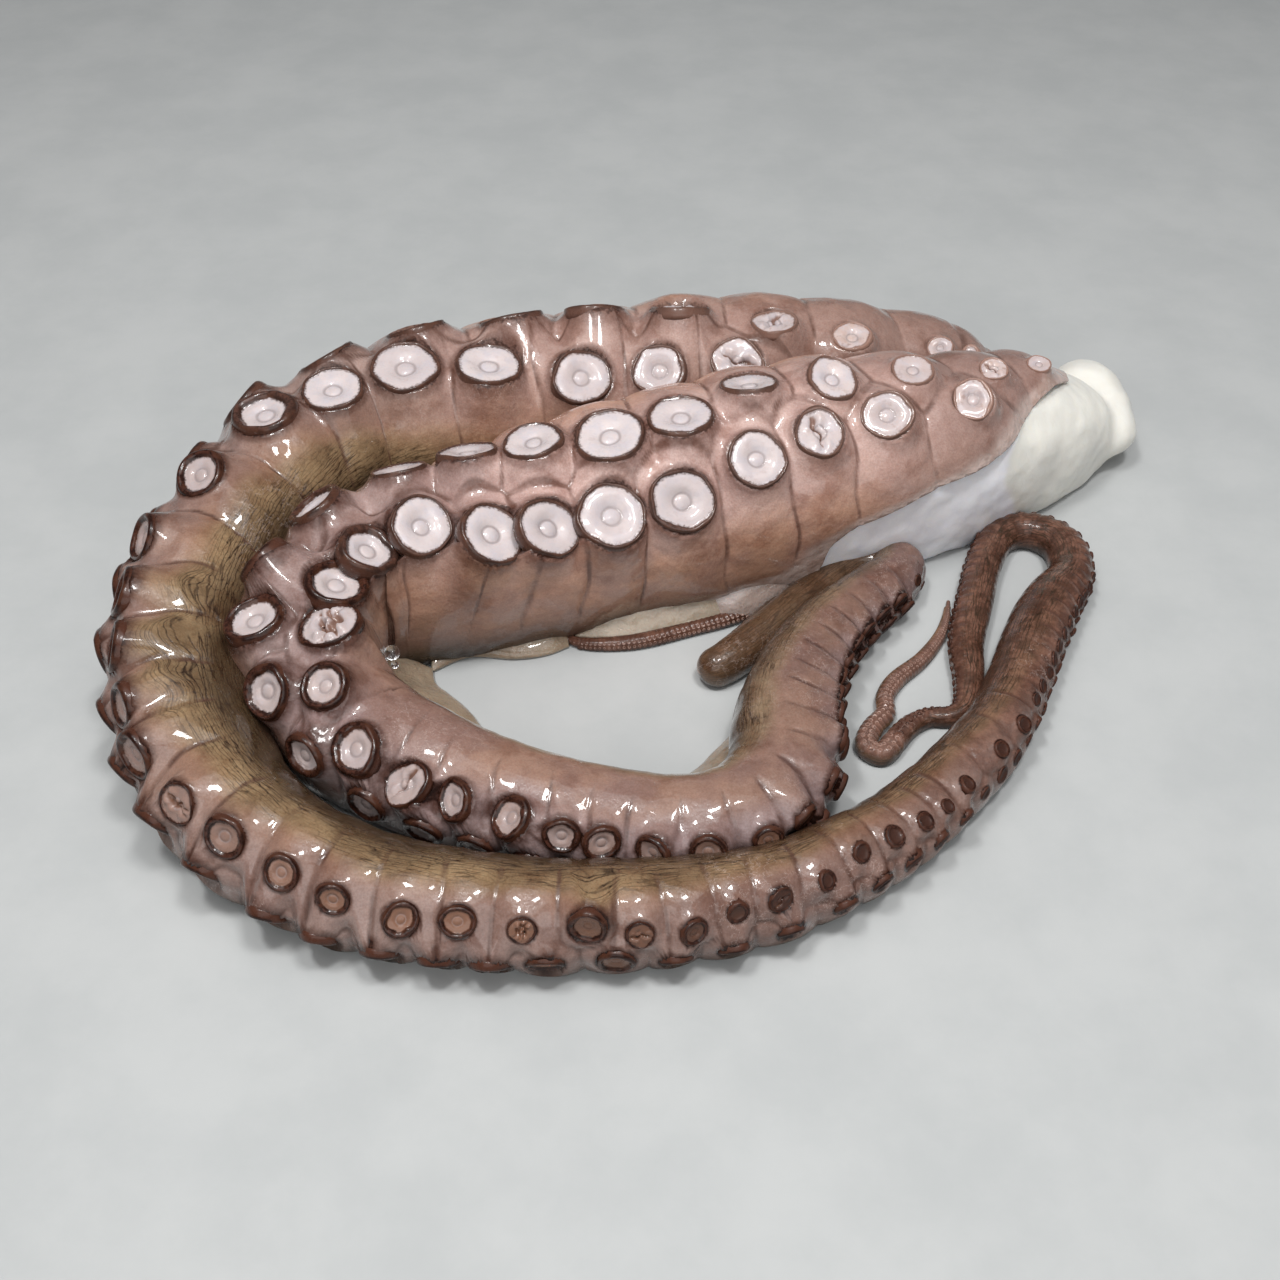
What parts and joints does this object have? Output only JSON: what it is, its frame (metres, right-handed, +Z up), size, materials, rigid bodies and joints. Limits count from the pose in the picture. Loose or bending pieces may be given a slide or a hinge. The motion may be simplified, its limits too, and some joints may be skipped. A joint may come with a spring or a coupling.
{
  "type": "pair of raw octopus arms",
  "caption": "Raw octopus arms joined at a cut base, coiled flat with their suckers up and out, thinning to curled tips.",
  "frame": {"origin": "centre of the footprint, on the surface that the arms lie on", "axes": "+X along the coil's longest way, towards the cut base; +Y towards the back arm; +Z up, away from the surface"},
  "size_m": [0.264, 0.2116, 0.0549],
  "materials": {
    "skin": "wet raw skin, glossy, mottled olive brown to mauve",
    "sucker": "wet pale sucker discs with thin red-brown rims",
    "flesh": "wet cut white muscle, milky and slightly translucent"
  },
  "bodies": {
    "root": {"octopus_arms": "skin"}
  },
  "joints": []
}
